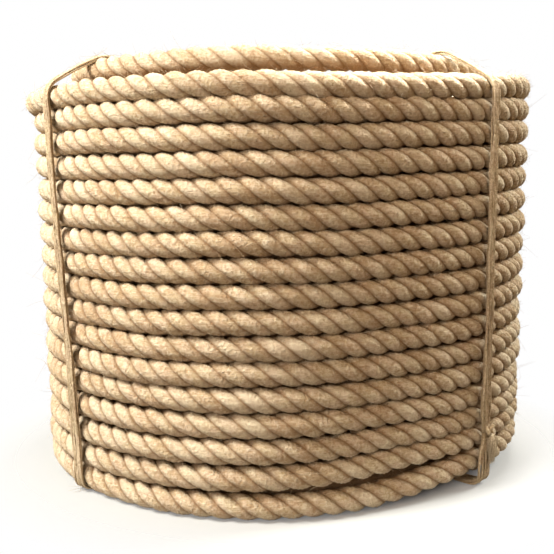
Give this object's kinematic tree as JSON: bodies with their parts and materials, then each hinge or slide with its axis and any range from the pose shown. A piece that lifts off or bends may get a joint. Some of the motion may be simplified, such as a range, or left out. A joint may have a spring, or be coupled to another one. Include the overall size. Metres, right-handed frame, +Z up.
{
  "type": "coil of laid jute rope with twine ties",
  "caption": "Upright hollow coil of thick, softly laid natural-fibre rope, wound in neat stacked rows and held by flat twine ties with frayed ends.",
  "frame": {"origin": "on the surface the coil stands on, under the middle of the coil", "axes": "+Z up along the coil's axis; +X to the right and -Y towards the viewer when the two front ties are seen left and right"},
  "size_m": [0.276, 0.2738, 0.2219],
  "materials": {
    "rope": "matte laid jute with fine fibres",
    "twine": "matte loose jute twine"
  },
  "bodies": {
    "root": {"rope_coil": "rope", "rope_last_turn": "rope", "tie_1": "twine", "tie_2": "twine", "tie_3": "twine", "tie_4": "twine"}
  },
  "joints": []
}
